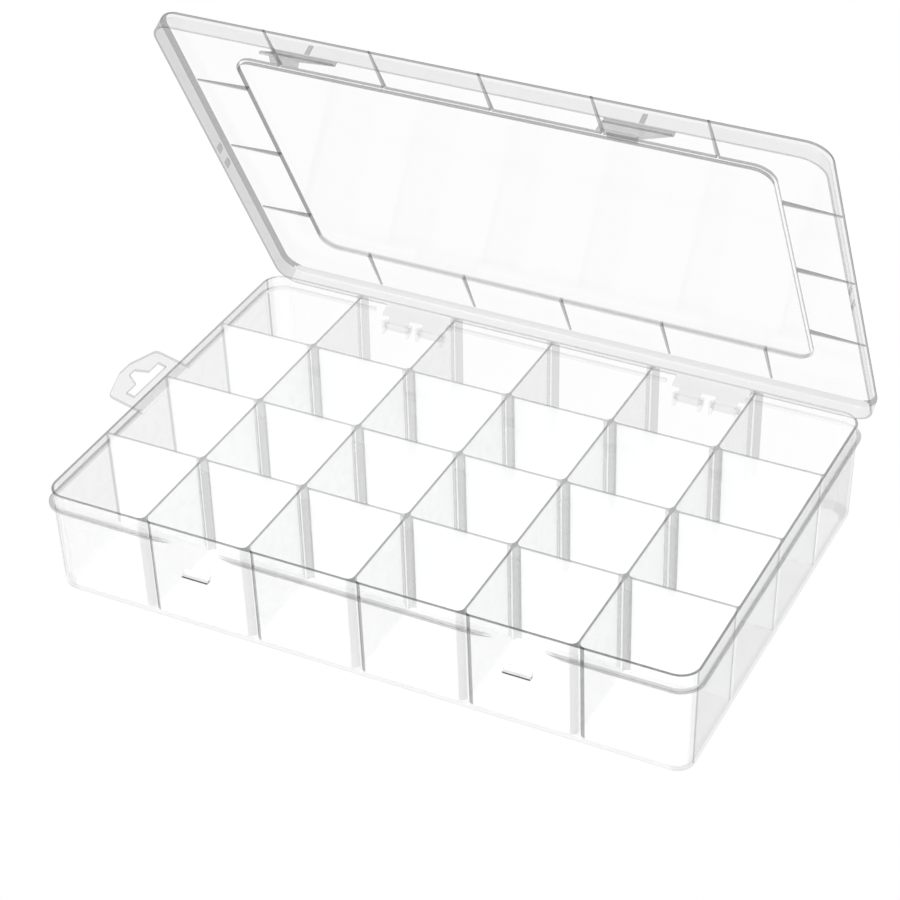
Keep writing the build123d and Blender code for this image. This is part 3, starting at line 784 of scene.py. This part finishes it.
def clear_polypropylene(name):
    """Clear moulded plastic that reads from each face how grey or how milky it is."""
    material = bpy.data.materials.new(name)
    tree = empty_tree(material)
    place = add_node(tree, "ShaderNodeTexCoord").outputs["Object"]
    painted_shade_and_haze = add_node(tree, "ShaderNodeAttribute", {"attribute_name": "painted_shade_and_haze"}).outputs["Fac"]

    # The surface: flow ripple, gloss that varies a little, and a colour from clear to the grey of
    # painted shade.
    flow = add_node(tree, "ShaderNodeTexNoise", inputs={"Vector": place, "Scale": 45.0, "Detail": 2.0})
    dull = add_node(tree, "ShaderNodeTexNoise", inputs={"Vector": place, "Scale": 160.0, "Detail": 3.0})
    gloss = remap(tree, dull.outputs["Fac"], 0.3, 0.7, 0.08, 0.13)
    ripple = add_node(tree, "ShaderNodeBump", inputs={
        "Height": flow.outputs["Fac"], "Strength": 0.03, "Distance": 0.0008}).outputs["Normal"]
    # Painted shade: the ramp turns the number into a grey, from clear white at 0 to dark grey at 1.
    colour = add_node(tree, "ShaderNodeValToRGB", inputs={"Fac": painted_shade_and_haze})
    colour.color_ramp.elements[0].color = srgb(WALL_TINT)
    colour.color_ramp.elements[1].color = srgb(PAINTED_SHADE_TINT)
    colour = colour.outputs["Color"]

    # Solid plastic, duller where more painted shade is marked.
    rough = add_node(tree, "ShaderNodeMath", {"operation": "ADD"}, {
        0: gloss, 1: remap(tree, painted_shade_and_haze, 0.0, 0.1, 0.0, 0.3)})
    plastic = add_node(tree, "ShaderNodeBsdfPrincipled", inputs={
        "Base Color": colour, "Roughness": rough.outputs[0], "IOR": REFRACTION,
        "Transmission Weight": 1.0 - HAZE, "Normal": ripple})

    # A thin sheet: grey with painted shade above zero and milky below zero, with a sheen that grows at
    # grazing angles.
    filtered = add_node(tree, "ShaderNodeBsdfTransparent", inputs={"Color": colour})
    lit = add_node(tree, "ShaderNodeBsdfDiffuse", inputs={"Color": srgb(MILK_TINT)})
    glow = add_node(tree, "ShaderNodeBsdfTranslucent", inputs={"Color": srgb(MILK_TINT)})
    milk = remap(tree, painted_shade_and_haze, MILKY_FROM, MILKY_TO, 0.0, MILKY_SHARE)
    milky = mix(tree, milk, filtered, mix(tree, 0.5, lit, glow))
    facing = add_node(tree, "ShaderNodeLayerWeight", inputs={"Blend": 0.5}).outputs["Facing"]
    grazing = add_node(tree, "ShaderNodeMath", {"operation": "POWER"}, {0: facing, 1: 5.0}).outputs[0]
    mirror = add_node(tree, "ShaderNodeBsdfGlossy", inputs={"Roughness": gloss, "Normal": ripple})
    sheet = mix(tree, remap(tree, grazing, 0.0, 1.0, 0.02, 0.4), milky, mirror)

    # Every face with a number is a sheet, and shadows pass through all of them.
    marked = add_node(tree, "ShaderNodeMath", {"operation": "ABSOLUTE"}, {0: painted_shade_and_haze}).outputs[0]
    body = mix(tree, remap(tree, marked, 0.0, SHEET_FROM, 0.0, SHEET_SHARE), plastic, sheet)
    through = add_node(tree, "ShaderNodeBsdfTransparent", inputs={"Color": srgb(SHADOW_TINT)})
    path = add_node(tree, "ShaderNodeLightPath")
    surface = mix(tree, path.outputs["Is Shadow Ray"], body, through)
    inner = add_node(tree, "ShaderNodeVolumeAbsorption", inputs={
        "Color": srgb(INNER_TINT), "Density": DIMMING})
    add_node(tree, "ShaderNodeOutputMaterial", inputs={
        "Surface": surface.outputs[0], "Volume": inner.outputs[0]})
    return material


tray_plastic = clear_polypropylene("clear_polypropylene_tray")
lid_plastic = clear_polypropylene("clear_polypropylene_lid")
print("materials:", tray_plastic.name, "and", lid_plastic.name)

# %% [markdown]
# ## Joining the skins to the moving bodies
# Each skin rides on its body of the imported model and stands in for the nodes that the body is made of.
# The films are not attached to a body; they stay where they are built.

# %% Bodies
BODIES = frame["record"]["behaviour"]["bodies"]
for piece, body, plastic in ((tray, "base", tray_plastic), (lid, "lid", lid_plastic),
                             (left_clasp, "left_clasp", lid_plastic),
                             (right_clasp, "right_clasp", lid_plastic)):
    piece.data.materials.clear()
    piece.data.materials.append(plastic)
    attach(piece, body)
    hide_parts(*BODIES[body])
for film, body, start, end in ((left_film, "left_clasp", left_start, left_end),
                               (right_film, "right_clasp", right_start, right_end)):
    film.data.materials.append(lid_plastic)
    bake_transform(film)

# %% [markdown]
# ## Floor, light and background
# Clear plastic is photographed on white. What makes its edges readable is that the surroundings are
# not equally bright on every side: the floor and the backdrop are white, and the room beyond is darker.

# %% Floor
floor_mesh = bpy.data.meshes.new("floor")
bm = bmesh.new()
bmesh.ops.create_grid(bm, x_segments=4, y_segments=4, size=3.0)
bm.to_mesh(floor_mesh)
bm.free()
floor = bpy.data.objects.new("floor", floor_mesh)
floor.location.z = -0.0002
bpy.context.scene.collection.objects.link(floor)
paper = bpy.data.materials.new("white_backdrop_paper")
tree = empty_tree(paper)
path = add_node(tree, "ShaderNodeLightPath")
matt = add_node(tree, "ShaderNodeBsdfDiffuse", inputs={"Color": srgb("#F4F4F4")})
white = add_node(tree, "ShaderNodeEmission", inputs={"Color": srgb("#FFFFFF"), "Strength": 1.0})
seen = add_node(tree, "ShaderNodeMath", {"operation": "MAXIMUM"}, {
    0: path.outputs["Is Camera Ray"], 1: path.outputs["Is Transmission Ray"]})
mirrored = add_node(tree, "ShaderNodeMath", {"operation": "MAXIMUM"}, {
    0: seen.outputs[0], 1: path.outputs["Is Glossy Ray"]})
shown = mix(tree, mirrored.outputs[0], matt, white)
add_node(tree, "ShaderNodeOutputMaterial", inputs={"Surface": shown.outputs[0]})
floor.data.materials.append(paper)

# %% Lamps
BOX_MIDDLE = Vector((0, 0, 0.05))


def softbox(name, location, size, power):
    """A square area lamp that points at the middle of the box."""
    lamp = bpy.data.lights.new(name, "AREA")
    lamp.shape = "SQUARE"
    lamp.size = size
    lamp.energy = power
    holder = bpy.data.objects.new(name, lamp)
    holder.location = location
    holder.rotation_euler = (BOX_MIDDLE - Vector(location)).to_track_quat("-Z", "Y").to_euler()
    bpy.context.scene.collection.objects.link(holder)


softbox("key_softbox", (-0.9, -1.0, 1.5), 1.0, 14.0)
softbox("fill_softbox", (1.3, -0.4, 1.2), 1.2, 8.0)
softbox("rear_softbox", (0.2, 1.4, 1.3), 1.2, 8.0)

# %% World
world = bpy.data.worlds.new("studio")
bpy.context.scene.world = world
tree = empty_tree(world)
path = add_node(tree, "ShaderNodeLightPath")
direction = add_node(tree, "ShaderNodeTexCoord").outputs["Generated"]
height = add_node(tree, "ShaderNodeSeparateXYZ", inputs={"Vector": direction}).outputs["Z"]
room = add_node(tree, "ShaderNodeValToRGB", inputs={"Fac": height})
room.color_ramp.elements[0].position = 0.0
room.color_ramp.elements[0].color = srgb("#D2D4D5")
room.color_ramp.elements[1].position = 0.55
room.color_ramp.elements[1].color = srgb("#FFFFFF")
around = add_node(tree, "ShaderNodeBackground", inputs={"Color": room.outputs["Color"], "Strength": 1.0})
behind = add_node(tree, "ShaderNodeBackground", inputs={"Color": srgb("#FFFFFF"), "Strength": 1.0})
pick = mix(tree, path.outputs["Is Camera Ray"], around, behind)
add_node(tree, "ShaderNodeOutputWorld", inputs={"Surface": pick.outputs[0]})

# %% View and ray depth
# A line of sight crosses a dozen clear walls, so rays need to go deeper than usual.
scene = bpy.context.scene
scene.view_settings.view_transform = "Standard"
scene.cycles.max_bounces = 32
scene.cycles.transmission_bounces = 32
scene.cycles.transparent_max_bounces = 32
